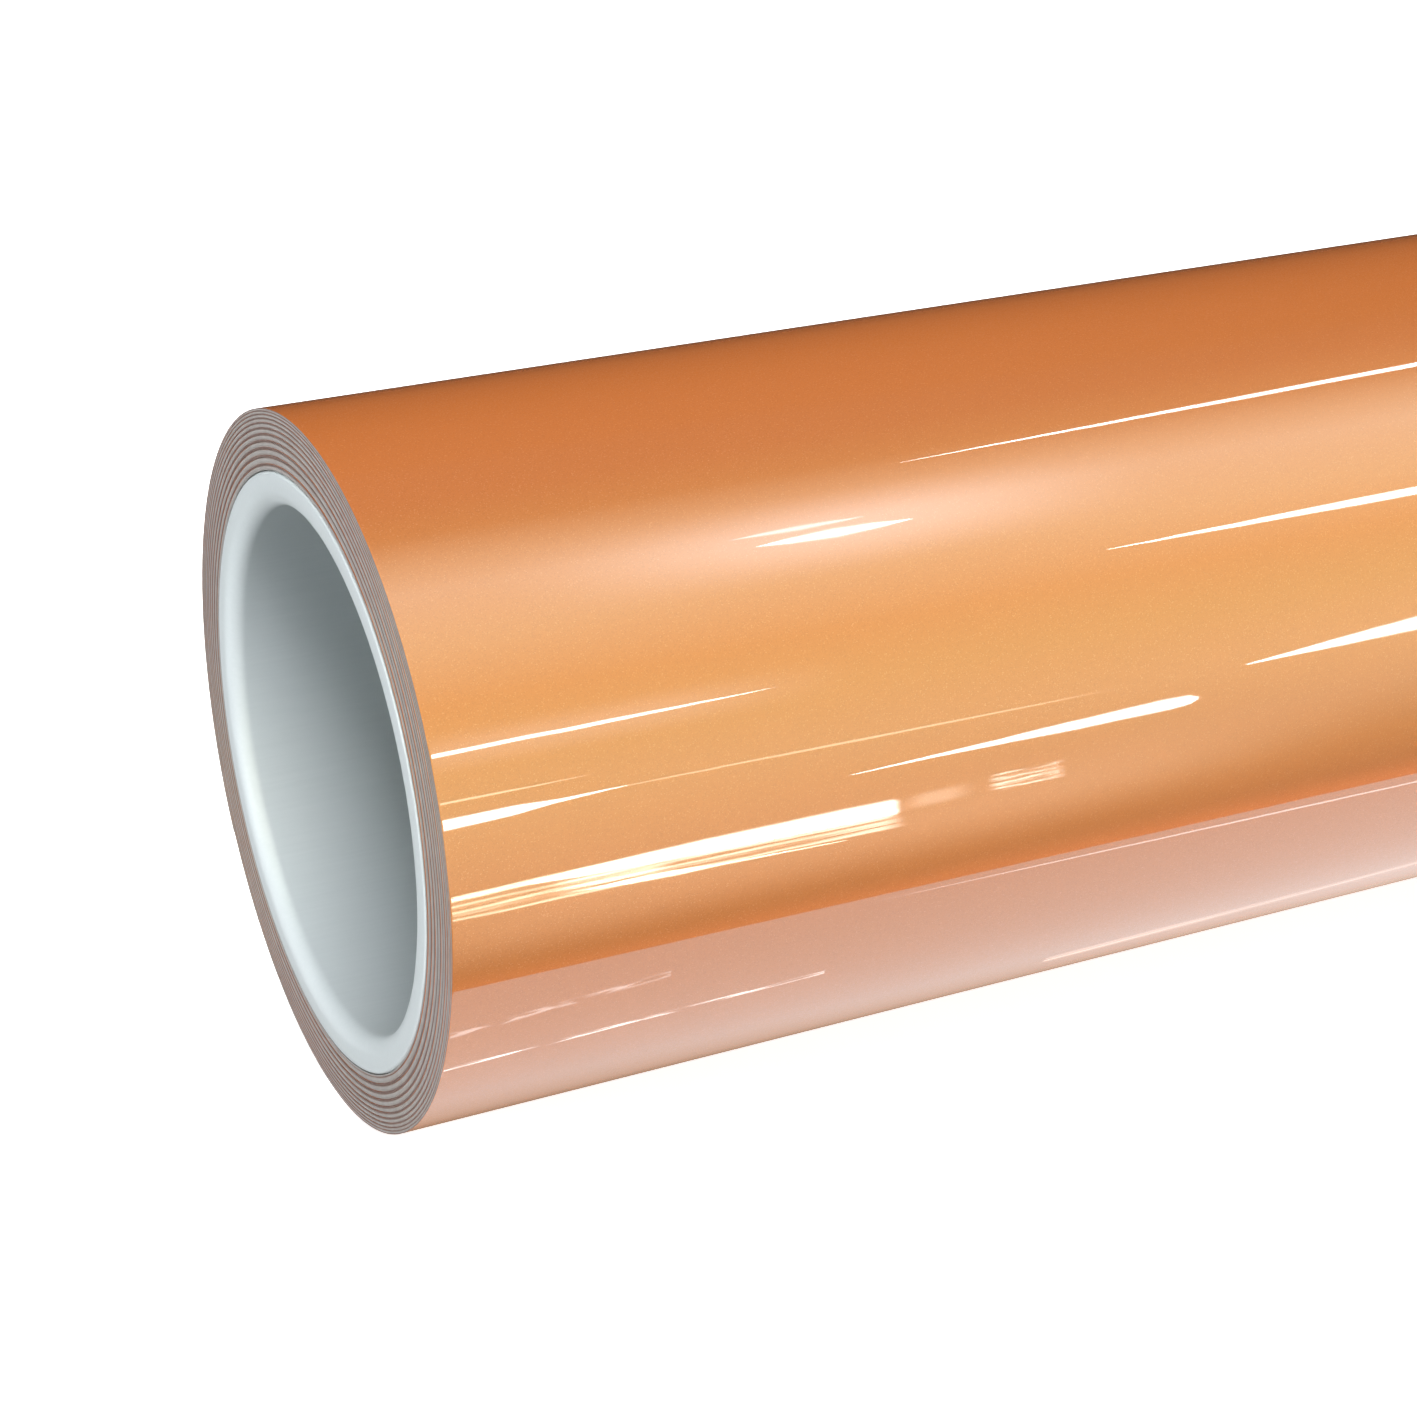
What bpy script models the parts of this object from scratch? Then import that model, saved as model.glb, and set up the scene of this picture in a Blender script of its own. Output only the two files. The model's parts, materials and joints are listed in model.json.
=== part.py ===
"""A wide roll of copper foil tape, lying on its side with its axis along X.

A moulded plastic core carries one long web wound round it: bright copper foil outside, its paper
release liner inside. The last quarter turn of the web is the free end, which lifts off the back
of the roll on six hinge lines. Units are metres, +Z is up, and the origin is on the surface the
roll lies on, under the middle of its axis.
"""

import math

import bmesh
import bpy

MM = 0.001

# Core: a standard 3 inch tube, cut flush with the web.
ROLL_LENGTH = 305 * MM
CORE_BORE_RADIUS = 38.1 * MM
CORE_OUTER_RADIUS = 43.3 * MM
CORE_INNER_ROUND = 1.8 * MM
CORE_OUTER_ROUND = 0.5 * MM
ROUND_STEPS = 4

# Web: its laps are drawn thicker and fewer than real foil, with the same build-up on the core.
ROLL_OUTER_RADIUS = 52.8 * MM
TURNS = 7.5
GAP = 0.28 * MM
START_TAPE_THICKNESS = 0.25 * MM
START_TAPE_WIDTH = 19 * MM
FOIL_SHARE = 0.52
FIRST_LAP_RADIUS = CORE_OUTER_RADIUS + GAP + START_TAPE_THICKNESS + GAP
LAP_PITCH = (ROLL_OUTER_RADIUS - FIRST_LAP_RADIUS + GAP) / (TURNS + 1)
WEB_THICKNESS = LAP_PITCH - 2 * GAP
FOIL_THICKNESS = FOIL_SHARE * WEB_THICKNESS
LINER_THICKNESS = WEB_THICKNESS - FOIL_THICKNESS

# Angles run from the front (-Y) over the top to the back (+Y), in degrees.
STEPS_A_TURN = 48
STEP = 360 / STEPS_A_TURN
TAIL_PANELS = 6
PANEL_ANGLE = 2 * STEP
TAIL_TIP_ANGLE = 213.75
TAIL_ROOT_ANGLE = TAIL_TIP_ANGLE - TAIL_PANELS * PANEL_ANGLE
WEB_START_ANGLE = TAIL_TIP_ANGLE - 360 * TURNS

# Closure tab: a strip of paper tape over the free end's edge.
TAB_LENGTH = 38 * MM
TAB_THICKNESS = 0.15 * MM
TAB_HOLD_ANGLE = 8
TAB_REACH_ANGLE = 10

FOIL_DEPTH = 0
LINER_DEPTH = FOIL_THICKNESS + GAP


def web_radius(angle, depth=FOIL_DEPTH):
    """The radius of the web's outer face, or of a layer that lies deeper in it."""
    turns_left = (TAIL_TIP_ANGLE - angle) / 360
    return ROLL_OUTER_RADIUS - LAP_PITCH * turns_left - depth


# The roll rests on the lowest facet of its outer lap.
REST_ANGLE = -90 + STEP / 2
AXIS_HEIGHT = web_radius(REST_ANGLE) * math.cos(math.radians(STEP / 2))


def roll_point(angle, radius, x=0.0):
    turned = math.radians(angle)
    return (x, -radius * math.cos(turned), AXIS_HEIGHT + radius * math.sin(turned))


def clear_scene():
    for obj in list(bpy.data.objects):
        bpy.data.objects.remove(obj, do_unlink=True)


def material(name, colour, roughness, metallic=0.0):
    made = bpy.data.materials.new(name)
    made.use_nodes = True
    shader = made.node_tree.nodes["Principled BSDF"]
    shader.inputs["Base Color"].default_value = (*colour, 1)
    shader.inputs["Roughness"].default_value = roughness
    shader.inputs["Metallic"].default_value = metallic
    return made


def add_object(name, mesh, finish, collection, parent=None):
    obj = bpy.data.objects.new(name, mesh)
    obj.data.materials.append(finish)
    obj.parent = parent
    collection.objects.link(obj)
    return obj


def layer_angles(start, end, step):
    count = max(1, round((end - start) / step))
    return [start + (end - start) * i / count for i in range(count + 1)]


def wound_layer(name, start, end, outer_radius_at, thickness, finish, collection, **place):
    """A thin layer wrapped from one angle to another: an open strip given its thickness inwards."""
    length = place.get("length", ROLL_LENGTH)
    origin = place.get("origin", (0, 0, 0))
    shape = bmesh.new()
    edge_points = []
    for angle in layer_angles(start, end, place.get("step", STEP)):
        x, y, z = roll_point(angle, outer_radius_at(angle), -length / 2)
        edge_points.append(shape.verts.new((x - origin[0], y - origin[1], z - origin[2])))
    edges = [shape.edges.new(pair) for pair in zip(edge_points, edge_points[1:])]
    swept = bmesh.ops.extrude_edge_only(shape, edges=edges)["geom"]
    far_points = [item for item in swept if isinstance(item, bmesh.types.BMVert)]
    bmesh.ops.translate(shape, verts=far_points, vec=(length, 0, 0))
    for face in shape.faces:
        face.normal_update()
        middle = face.calc_center_median()
        outward = (middle.y + origin[1], middle.z + origin[2] - AXIS_HEIGHT)
        if face.normal.y * outward[0] + face.normal.z * outward[1] < 0:
            face.normal_flip()
    mesh = bpy.data.meshes.new(name)
    shape.to_mesh(mesh)
    shape.free()
    obj = add_object(name, mesh, finish, collection, place.get("parent"))
    solid = obj.modifiers.new("thickness", "SOLIDIFY")
    solid.thickness = thickness
    solid.offset = -1
    solid.use_even_offset = True
    mesh.shade_smooth()
    return obj


def core_profile():
    """Half of the tube wall as a closed loop in X (radius) and Z (along the roll), going clockwise."""
    half = ROLL_LENGTH / 2
    points = []
    corners = (
        (CORE_OUTER_RADIUS, half, CORE_OUTER_ROUND, -1, 0),
        (CORE_OUTER_RADIUS, -half, CORE_OUTER_ROUND, -1, -90),
        (CORE_BORE_RADIUS, -half, CORE_INNER_ROUND, 1, -180),
        (CORE_BORE_RADIUS, half, CORE_INNER_ROUND, 1, -270),
    )
    for radius, end, rounding, side, first_turn in corners:
        centre_radius = radius + side * rounding
        centre_end = end - math.copysign(rounding, end)
        for i in range(ROUND_STEPS + 1):
            turn = math.radians(90 + first_turn - 90 * i / ROUND_STEPS)
            along = centre_end + rounding * math.sin(turn)
            points.append((centre_radius + rounding * math.cos(turn), along))
    return points


def core_tube(finish, collection):
    shape = bmesh.new()
    points = [shape.verts.new((radius, 0, along)) for radius, along in core_profile()]
    for pair in zip(points, points[1:] + points[:1]):
        shape.edges.new(pair)
    mesh = bpy.data.meshes.new("core_tube")
    shape.to_mesh(mesh)
    shape.free()
    obj = add_object("core_tube", mesh, finish, collection)
    obj.location = (0, 0, AXIS_HEIGHT)
    obj.rotation_mode = "ZYX"
    obj.rotation_euler = (0, math.radians(90), math.radians(STEP / 2))
    turned = obj.modifiers.new("turned", "SCREW")
    turned.steps = STEPS_A_TURN
    turned.render_steps = STEPS_A_TURN
    turned.use_merge_vertices = True
    turned.merge_threshold = 0.00001
    mesh.shade_smooth()
    return obj


def core_start_tape(finish, collection):
    """Double-sided tape along the core, under the start of the web."""
    outer_radius = CORE_OUTER_RADIUS + GAP + START_TAPE_THICKNESS
    arc = math.degrees(START_TAPE_WIDTH / outer_radius)
    return wound_layer(
        "core_start_tape",
        WEB_START_ANGLE,
        WEB_START_ANGLE + arc,
        lambda angle: outer_radius,
        START_TAPE_THICKNESS,
        finish,
        collection,
        length=ROLL_LENGTH - 10 * MM,
    )


def web_layers(foil, liner):
    """Name, depth in the web, thickness and finish of the web's two layers."""
    return (
        ("foil", FOIL_DEPTH, FOIL_THICKNESS, foil),
        ("liner", LINER_DEPTH, LINER_THICKNESS, liner),
    )


def wound_web(layers, collection):
    """The part of the web that stays on the roll, up to the free end's first hinge line."""
    slit = math.degrees(GAP / 2 / ROLL_OUTER_RADIUS)
    for name, depth, thickness, finish in layers:
        wound_layer(
            f"{name}_winding",
            WEB_START_ANGLE,
            TAIL_ROOT_ANGLE - slit,
            lambda angle, depth=depth: web_radius(angle, depth),
            thickness,
            finish,
            collection,
        )


def hinge_line(index, parent, collection):
    """An empty on the foil's outer face, where one panel of the free end turns on the one before."""
    angle = TAIL_ROOT_ANGLE + (index - 1) * PANEL_ANGLE
    place = roll_point(angle, web_radius(angle))
    empty = bpy.data.objects.new(f"tail_hinge_{index}", None)
    empty.parent = parent
    before = place_of(parent)
    empty.location = tuple(here - there for here, there in zip(place, before))
    empty["place"] = place
    collection.objects.link(empty)
    return empty


def place_of(empty):
    return tuple(empty["place"]) if empty else (0, 0, 0)


def free_end(layers, collection):
    """Six panels of each layer, each on its own hinge line. Returns the last hinge line."""
    slit = math.degrees(GAP / 2 / ROLL_OUTER_RADIUS)
    hinge = None
    for index in range(1, TAIL_PANELS + 1):
        hinge = hinge_line(index, hinge, collection)
        start = TAIL_ROOT_ANGLE + (index - 1) * PANEL_ANGLE
        for name, depth, thickness, finish in layers:
            wound_layer(
                f"{name}_tail_{index}",
                start + slit,
                start + PANEL_ANGLE - slit,
                lambda angle, depth=depth: web_radius(angle, depth),
                thickness,
                finish,
                collection,
                origin=place_of(hinge),
                parent=hinge,
            )
    return hinge


def closure_tab(last_hinge, finish, collection):
    """Paper tape half on the free end and half past its edge, at the middle of the roll."""
    outer_radius = ROLL_OUTER_RADIUS + GAP + TAB_THICKNESS
    wound_layer(
        "closure_tab",
        TAIL_TIP_ANGLE - TAB_HOLD_ANGLE,
        TAIL_TIP_ANGLE + TAB_REACH_ANGLE,
        lambda angle: outer_radius,
        TAB_THICKNESS,
        finish,
        collection,
        length=TAB_LENGTH,
        step=STEP / 2,
        origin=place_of(last_hinge),
        parent=last_hinge,
    )


def build_roll():
    clear_scene()
    collection = bpy.data.collections.new("copper_foil_tape_roll")
    bpy.context.scene.collection.children.link(collection)
    plastic = material("white_core_plastic", (0.68, 0.74, 0.76), 0.35)
    foil = material("copper_foil", (0.72, 0.27, 0.07), 0.22, 0.9)
    liner = material("release_liner_paper", (0.42, 0.37, 0.34), 0.6)
    glued = material("double_sided_tape", (0.75, 0.72, 0.62), 0.5)
    paper = material("paper_tape", (0.8, 0.76, 0.66), 0.6)
    layers = web_layers(foil, liner)
    core_tube(plastic, collection)
    core_start_tape(glued, collection)
    wound_web(layers, collection)
    last_hinge = free_end(layers, collection)
    closure_tab(last_hinge, paper, collection)


build_roll()
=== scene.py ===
import json
import math
import random

import bmesh
import bpy
from mathutils import Matrix, Vector

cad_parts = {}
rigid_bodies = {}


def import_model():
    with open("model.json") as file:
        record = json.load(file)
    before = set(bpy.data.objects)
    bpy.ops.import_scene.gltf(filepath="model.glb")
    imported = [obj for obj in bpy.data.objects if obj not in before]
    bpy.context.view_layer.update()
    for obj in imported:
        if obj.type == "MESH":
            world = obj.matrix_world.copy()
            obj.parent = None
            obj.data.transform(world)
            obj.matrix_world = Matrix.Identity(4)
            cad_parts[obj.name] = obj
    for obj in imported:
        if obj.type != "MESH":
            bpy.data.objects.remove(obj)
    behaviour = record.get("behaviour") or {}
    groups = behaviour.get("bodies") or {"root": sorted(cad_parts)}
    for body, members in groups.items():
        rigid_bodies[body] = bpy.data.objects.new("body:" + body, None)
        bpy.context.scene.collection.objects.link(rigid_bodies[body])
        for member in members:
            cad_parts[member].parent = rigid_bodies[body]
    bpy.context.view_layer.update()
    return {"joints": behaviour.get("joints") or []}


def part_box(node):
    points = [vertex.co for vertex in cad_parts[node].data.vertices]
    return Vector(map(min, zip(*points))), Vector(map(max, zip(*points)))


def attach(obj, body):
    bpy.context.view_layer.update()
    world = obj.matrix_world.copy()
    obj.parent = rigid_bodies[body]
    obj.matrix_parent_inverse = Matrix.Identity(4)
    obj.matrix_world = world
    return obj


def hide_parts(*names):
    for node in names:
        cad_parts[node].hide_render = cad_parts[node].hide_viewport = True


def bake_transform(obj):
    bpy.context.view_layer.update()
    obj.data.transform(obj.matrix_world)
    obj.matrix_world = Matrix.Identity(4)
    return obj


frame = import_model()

mm = 0.001


# places and sizes that the frame gives
coreLow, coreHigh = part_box("core_tube")
rollLength = coreHigh.x - coreLow.x
axisHeight = (coreLow.z + coreHigh.z) / 2
coreOuter = (coreHigh.y - coreLow.y) / 2
leftEnd = coreLow.x
rollRadius = axisHeight     # the roll lies on the floor
joints = [j for j in frame["joints"] if j["name"].startswith("tail_lift")]
panelCount = len(joints)


def angleOf(point):
    # 0 at the front of the roll, 90 at the top, 180 at the back
    return math.degrees(math.atan2(point[2] - axisHeight, -point[1])) % 360


tailRoot = angleOf(joints[0]["pos_m"])
panelAngle = angleOf(joints[1]["pos_m"]) - tailRoot
tailTip = tailRoot + panelCount * panelAngle
bottomAngle = -90


def rollPoint(x, angle, radius):
    # x along the roll, the angle round it as in angleOf, and the radius from its axis
    turned = math.radians(angle)
    return Vector((x, -radius * math.cos(turned), axisHeight + radius * math.sin(turned)))


def linear(hexColour):
    # sRGB hex to the linear colour that a node or lamp takes
    parts = [int(hexColour[i:i + 2], 16) / 255 for i in (1, 3, 5)]
    return (*[p / 12.92 if p <= 0.04045 else ((p + 0.055) / 1.055) ** 2.4 for p in parts], 1.0)


def eased(share):
    # from 0 to 1 with a soft start and a soft end
    return share * share * (3 - 2 * share)


def addNode(tree, kind, settings=None, links=None):
    # settings go to the node's sockets, or to the node itself where no socket has that name
    node = tree.nodes.new(kind)
    for name, value in (settings or {}).items():
        if isinstance(name, int) or name in node.inputs:
            node.inputs[name].default_value = value
        else:
            setattr(node, name, value)
    for name, source in (links or {}).items():
        tree.links.new(source, node.inputs[name])
    return node


def newMaterial(name):
    material = bpy.data.materials.new(name)
    material.use_nodes = True
    tree = material.node_tree
    tree.nodes.clear()
    return material, tree


def finishMaterial(tree, shader):
    addNode(tree, "ShaderNodeOutputMaterial", links={"Surface": shader.outputs[0]})


def meshFrom(shape, name):
    mesh = bpy.data.meshes.new(name)
    shape.to_mesh(mesh)
    shape.free()
    return mesh


def newPiece(name, mesh, material, body, slotName, *replaced):
    piece = bpy.data.objects.new(name, mesh)
    bpy.context.scene.collection.objects.link(piece)
    piece.data.materials.append(material)
    if body:
        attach(piece, body)
    if replaced:
        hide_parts(*replaced)
    return piece


foilLook = {
    "copper": "#D2742F",
    "brightFlake": "#DE884A",
    "darkFlake": "#C86D2B",
    "darkShare": 0.35,          # flakes darker than plain copper
    "brightFrom": 0.92,         # above this share the flakes are brighter
    "metallic": 0.12,           # the flakes in the lacquer hide nearly all of the bare metal
    "roughness": 0.42,
    "specularLevel": 0.25,      # the foil below the lacquer mirrors little
    "flakeSize": 0.13 * mm,     # real flakes are 0.03 mm; drawn this coarse so that they show
    "flakeTilt": 0.13,          # how far a flake leans out of the web, as a share of its normal
    "lacquerRoughness": 0.015,
    "lacquerIor": 1.8,          # a hard coat that mirrors more than plain varnish
    "waveLength": 14 * mm,      # slow waves that a wound web keeps
    "waveHeight": 0.012 * mm,
}


def copperFoilMaterial():
    # Rolled copper foil, roller coated with a clear lacquer that holds fine copper flakes. The
    # eye sees an even, soft orange with a faint sparkle, and sharp mirror images over it.
    look = foilLook
    material, tree = newMaterial("lacqueredCopperFoil")
    place = addNode(tree, "ShaderNodeTexCoord")
    flakes = addNode(tree, "ShaderNodeTexVoronoi",
                     {"Scale": 1 / look["flakeSize"], "feature": "F1"},
                     {"Vector": place.outputs["Object"]})
    centred = addNode(tree, "ShaderNodeVectorMath", {"operation": "SUBTRACT", 1: (0.5, 0.5, 0.5)},
                      {0: flakes.outputs["Color"]})
    tilt = addNode(tree, "ShaderNodeVectorMath", {"operation": "SCALE", "Scale": look["flakeTilt"]},
                   {0: centred.outputs[0]})
    facing = addNode(tree, "ShaderNodeNewGeometry")
    tilted = addNode(tree, "ShaderNodeVectorMath", {"operation": "ADD"},
                     {0: facing.outputs["Normal"], 1: tilt.outputs[0]})
    flakeNormal = addNode(tree, "ShaderNodeVectorMath", {"operation": "NORMALIZE"},
                          {0: tilted.outputs[0]})
    split = addNode(tree, "ShaderNodeSeparateColor", links={"Color": flakes.outputs["Color"]})
    tone = addNode(tree, "ShaderNodeValToRGB", links={"Fac": split.outputs[0]})
    stops = tone.color_ramp.elements
    stops[0].color = linear(look["darkFlake"])
    stops[1].color = linear(look["copper"])
    stops[1].position = look["darkShare"]
    stops.new(look["brightFrom"]).color = linear(look["copper"])
    stops.new(1.0).color = linear(look["brightFlake"])
    waves = addNode(tree, "ShaderNodeTexNoise", {"Scale": 1 / look["waveLength"], "Detail": 2.0},
                    {"Vector": place.outputs["Object"]})
    lacquer = addNode(tree, "ShaderNodeBump",
                      {"Strength": 1.0, "Distance": look["waveHeight"]},
                      {"Height": waves.outputs[0]})
    shader = addNode(tree, "ShaderNodeBsdfPrincipled",
                     {"Metallic": look["metallic"], "Roughness": look["roughness"],
                      "Specular IOR Level": look["specularLevel"],
                      "Coat Weight": 1.0, "Coat Roughness": look["lacquerRoughness"],
                      "Coat IOR": look["lacquerIor"]},
                     {"Base Color": tone.outputs[0], "Normal": flakeNormal.outputs[0],
                      "Coat Normal": lacquer.outputs[0]})
    finishMaterial(tree, shader)
    return material


mattLooks = {
    # Copper foil slit by round knives: many thin edges side by side. Their dull brown grey is
    # partly painted shade: darker than the copper's own colour, as the edges look in the shade
    # between the laps. The knife marks are 0.1 mm apart and drawn coarser, so that they show.
    "slitFoilEdge": {"colour": "#7C6A66", "spot": "#6D5A56", "roughness": 0.5,
                     "spotSize": 0.8 * mm, "spotHeight": 0.002 * mm},
    # Calendered paper with a silicone coat: a light grey, half matt, clouded by its fibres
    "siliconedPaperLiner": {"colour": "#A6A2A1", "spot": "#9A9493", "roughness": 0.55,
                            "spotSize": 1.5 * mm, "spotHeight": 0.004 * mm},
    # Tissue soaked in adhesive on both faces: a milky cream with a dull shine
    "tissueTape": {"colour": "#D8D2C2", "spot": "#CCC5B2", "roughness": 0.5,
                   "spotSize": 1.0 * mm, "spotHeight": 0.004 * mm},
    # Uncoated paper tape, pressed on by hand: a warm cream, matt, with a tooth that catches light
    "creamPaperTape": {"colour": "#E9E1CB", "spot": "#DCD2B8", "roughness": 0.65,
                       "spotSize": 0.7 * mm, "spotHeight": 0.01 * mm},
}


def mattMaterial(name):
    look = mattLooks[name]
    material, tree = newMaterial(name)
    place = addNode(tree, "ShaderNodeTexCoord")
    noise = addNode(tree, "ShaderNodeTexNoise", {"Scale": 1 / look["spotSize"], "Detail": 4.0},
                    {"Vector": place.outputs["Object"]})
    tone = addNode(tree, "ShaderNodeValToRGB", links={"Fac": noise.outputs[0]})
    tone.color_ramp.elements[0].color = linear(look["spot"])
    tone.color_ramp.elements[0].position = 0.3
    tone.color_ramp.elements[1].color = linear(look["colour"])
    tone.color_ramp.elements[1].position = 0.7
    bump = addNode(tree, "ShaderNodeBump", {"Strength": 0.6, "Distance": look["spotHeight"]},
                   {"Height": noise.outputs[0]})
    shader = addNode(tree, "ShaderNodeBsdfPrincipled", {"Roughness": look["roughness"]},
                     {"Base Color": tone.outputs[0], "Normal": bump.outputs[0]})
    finishMaterial(tree, shader)
    return material


coreLook = {
    "white": "#CDD5D8",
    "shade": "#C5CED1",
    "roughness": 0.36,
    "ior": 1.5,
    "lineWidth": 0.5 * mm,
    "lineStretch": 0.04,        # the lines are 25 times as long as they are wide
    "lineHeight": 0.004 * mm,
}


def coreAbsMaterial():
    # White ABS, extruded and cut to length: the die draws faint lines along the tube, and the
    # skin sets with a satin sheen. The eye sees a cool, even white.
    look = coreLook
    material, tree = newMaterial("extrudedWhiteAbs")
    place = addNode(tree, "ShaderNodeTexCoord")
    stretched = addNode(tree, "ShaderNodeMapping", {"Scale": (look["lineStretch"], 1.0, 1.0)},
                        {"Vector": place.outputs["Object"]})
    lines = addNode(tree, "ShaderNodeTexNoise", {"Scale": 1 / look["lineWidth"], "Detail": 3.0},
                    {"Vector": stretched.outputs[0]})
    tone = addNode(tree, "ShaderNodeValToRGB", links={"Fac": lines.outputs[0]})
    tone.color_ramp.elements[0].color = linear(look["shade"])
    tone.color_ramp.elements[1].color = linear(look["white"])
    bump = addNode(tree, "ShaderNodeBump", {"Strength": 0.5, "Distance": look["lineHeight"]},
                   {"Height": lines.outputs[0]})
    shader = addNode(tree, "ShaderNodeBsdfPrincipled",
                     {"Roughness": look["roughness"], "IOR": look["ior"]},
                     {"Base Color": tone.outputs[0], "Normal": bump.outputs[0]})
    finishMaterial(tree, shader)
    return material


foilMaterial = copperFoilMaterial()
coreMaterial = coreAbsMaterial()
# the foil's slit edges, their dull colour partly painted shade
foilEdgeMaterial = mattMaterial("slitFoilEdge")
linerMaterial = mattMaterial("siliconedPaperLiner")
tapeMaterial = mattMaterial("tissueTape")
paperMaterial = mattMaterial("creamPaperTape")
print("materials made")


coreShape = {
    "outerRadius": coreOuter,
    "boreRadius": 38.1 * mm,        # a standard 3 inch bore
    "innerRound": 2.6 * mm,         # the soft inner lip
    "outerRound": 0.5 * mm,
    "lipSteps": 8,
    "stepsRound": 192,
}


def coreProfile():
    # the tube wall cut along the roll, as (x from its middle, radius): four rounded corners, each
    # with its radius, its end, its rounding, the side its centre is on and its first angle
    shape = coreShape
    corners = (
        (shape["outerRadius"], 1, shape["outerRound"], -1, 90),
        (shape["outerRadius"], -1, shape["outerRound"], -1, 0),
        (shape["boreRadius"], -1, shape["innerRound"], 1, -90),
        (shape["boreRadius"], 1, shape["innerRound"], 1, -180),
    )
    points = []
    for radius, end, rounding, side, firstTurn in corners:
        for i in range(shape["lipSteps"] + 1):
            turn = math.radians(firstTurn - 90 * i / shape["lipSteps"])
            points.append((end * (rollLength / 2 - rounding) + rounding * math.sin(turn),
                           radius + side * rounding + rounding * math.cos(turn)))
    return points


def buildCore():
    shape = bmesh.new()
    steps = coreShape["stepsRound"]
    rings = []
    for i in range(steps):
        angle = 360 * i / steps
        rings.append([shape.verts.new(rollPoint(x, angle, radius)) for x, radius in coreProfile()])
    for i, ring in enumerate(rings):
        after = rings[(i + 1) % steps]
        for j in range(len(ring)):
            k = (j + 1) % len(ring)
            shape.faces.new((ring[j], ring[k], after[k], after[j]))
    bmesh.ops.recalc_face_normals(shape, faces=shape.faces)
    mesh = meshFrom(shape, "coreTube")
    mesh.shade_smooth()
    return newPiece("coreTube", mesh, coreMaterial, "roll", "core_plastic", "core_tube")


coreOnly = bpy.data.collections.new("coreOnly")
coreOnly.objects.link(buildCore())
print("core made")


webShape = {
    "laps": 11,                     # drawn coarser than about 30 real laps, so that they show
    "innerPitch": 1.32 * mm,        # lap spacing at the core, looser than at the outside
    "startRadius": coreOuter + 0.12 * mm,
    "firstAngle": 15,               # the first lap thickens from nothing and is drawn from here
    "foilShare": 0.26,              # of a lap's thickness; the liner takes what is left
    "airShare": 0.05,
    "stepAngle": 1.25,              # degrees a step, twice that in the hidden inner laps
    "freeEndStep": 0.75,
    "telescope": 0.2 * mm,          # the roll's ends lean this much from core to outside
    "lapWander": 0.035 * mm,        # how far a lap drifts to either side
    "wandersPerTurn": 8,
    "wanderSeed": 7,
    "edgeSteps": 4,                 # steps round a layer's slit edge
    "edgeBulge": 0.20,              # how far that edge bulges, as a share of the thickness
    "supportInset": 0.25 * mm,      # loops that keep the long faces' shading straight
    "sharpAngle": 50,
}

totalTurns = webShape["laps"]
startAngle = tailTip - 360 * totalTurns


def webTurns(angle):
    # turns from the start of the web at the core
    return (angle - startAngle) / 360


def solveOuterPitch():
    # the outer face has to touch the floor at the bottom of the roll
    grown = axisHeight - webShape["startRadius"]
    t = webTurns(bottomAngle + 360) - 1   # outer face of the lap that passes the bottom
    return 2 * (webShape["innerPitch"] * t - grown) / (t * t)


pitchSlope = solveOuterPitch()


def innerRadiusAt(angle):
    # the first lap lies on the core and thickens from nothing, so that the web sits tight
    t = max(0.0, webTurns(angle) - 1)
    return webShape["startRadius"] + webShape["innerPitch"] * t - pitchSlope * t * t / 2


def layerRadii(layer, angle):
    # lap from inside out: liner, air, foil, air; the next lap starts one turn later
    low = innerRadiusAt(angle)
    pitch = innerRadiusAt(angle + 360) - low
    air = webShape["airShare"] / 2 * pitch
    foil = webShape["foilShare"] * pitch
    if layer == "foil":
        return low + pitch - air - foil, low + pitch
    return low, low + pitch - 2 * air - foil


lapDraws = random.Random(webShape["wanderSeed"])
shiftCount = (totalTurns + 2) * webShape["wandersPerTurn"]
lapShifts = [lapDraws.uniform(-1, 1) for _ in range(shiftCount)]


def lapShift(angle):
    # the slow wander of the web from side to side as it was wound
    t = max(0.0, webTurns(angle)) * webShape["wandersPerTurn"]
    i = int(t)
    share = eased(t - i)
    return (lapShifts[i] * (1 - share) + lapShifts[i + 1] * share) * webShape["lapWander"]


webWidth = rollLength - webShape["telescope"] - 4 * webShape["lapWander"]


def webEdges(angle):
    # x of the web's two edges: inner laps stand out at the left end, outer laps at the right end
    share = webTurns(angle) / totalTurns
    left = leftEnd + 2 * webShape["lapWander"] + webShape["telescope"] * share + lapShift(angle)
    return left, left + webWidth


def layerSection(layer, angle):
    # closed section of the layer as (x, radius): left edge, outer face, right edge, inner face
    low, high = layerRadii(layer, angle)
    left, right = webEdges(angle)
    middle = (low + high) / 2
    half = (high - low) / 2
    bulge = webShape["edgeBulge"] * (high - low)
    inset = webShape["supportInset"]
    steps = webShape["edgeSteps"]
    turns = [math.pi * i / steps for i in range(steps + 1)]
    points = [(left + inset, low)]
    for turn in turns:
        points.append((left + bulge - bulge * math.sin(turn), middle - half * math.cos(turn)))
    points += [(left + inset, high), (right - inset, high)]
    for turn in turns:
        points.append((right - bulge + bulge * math.sin(turn), middle + half * math.cos(turn)))
    points.append((right - inset, low))
    return points


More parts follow.
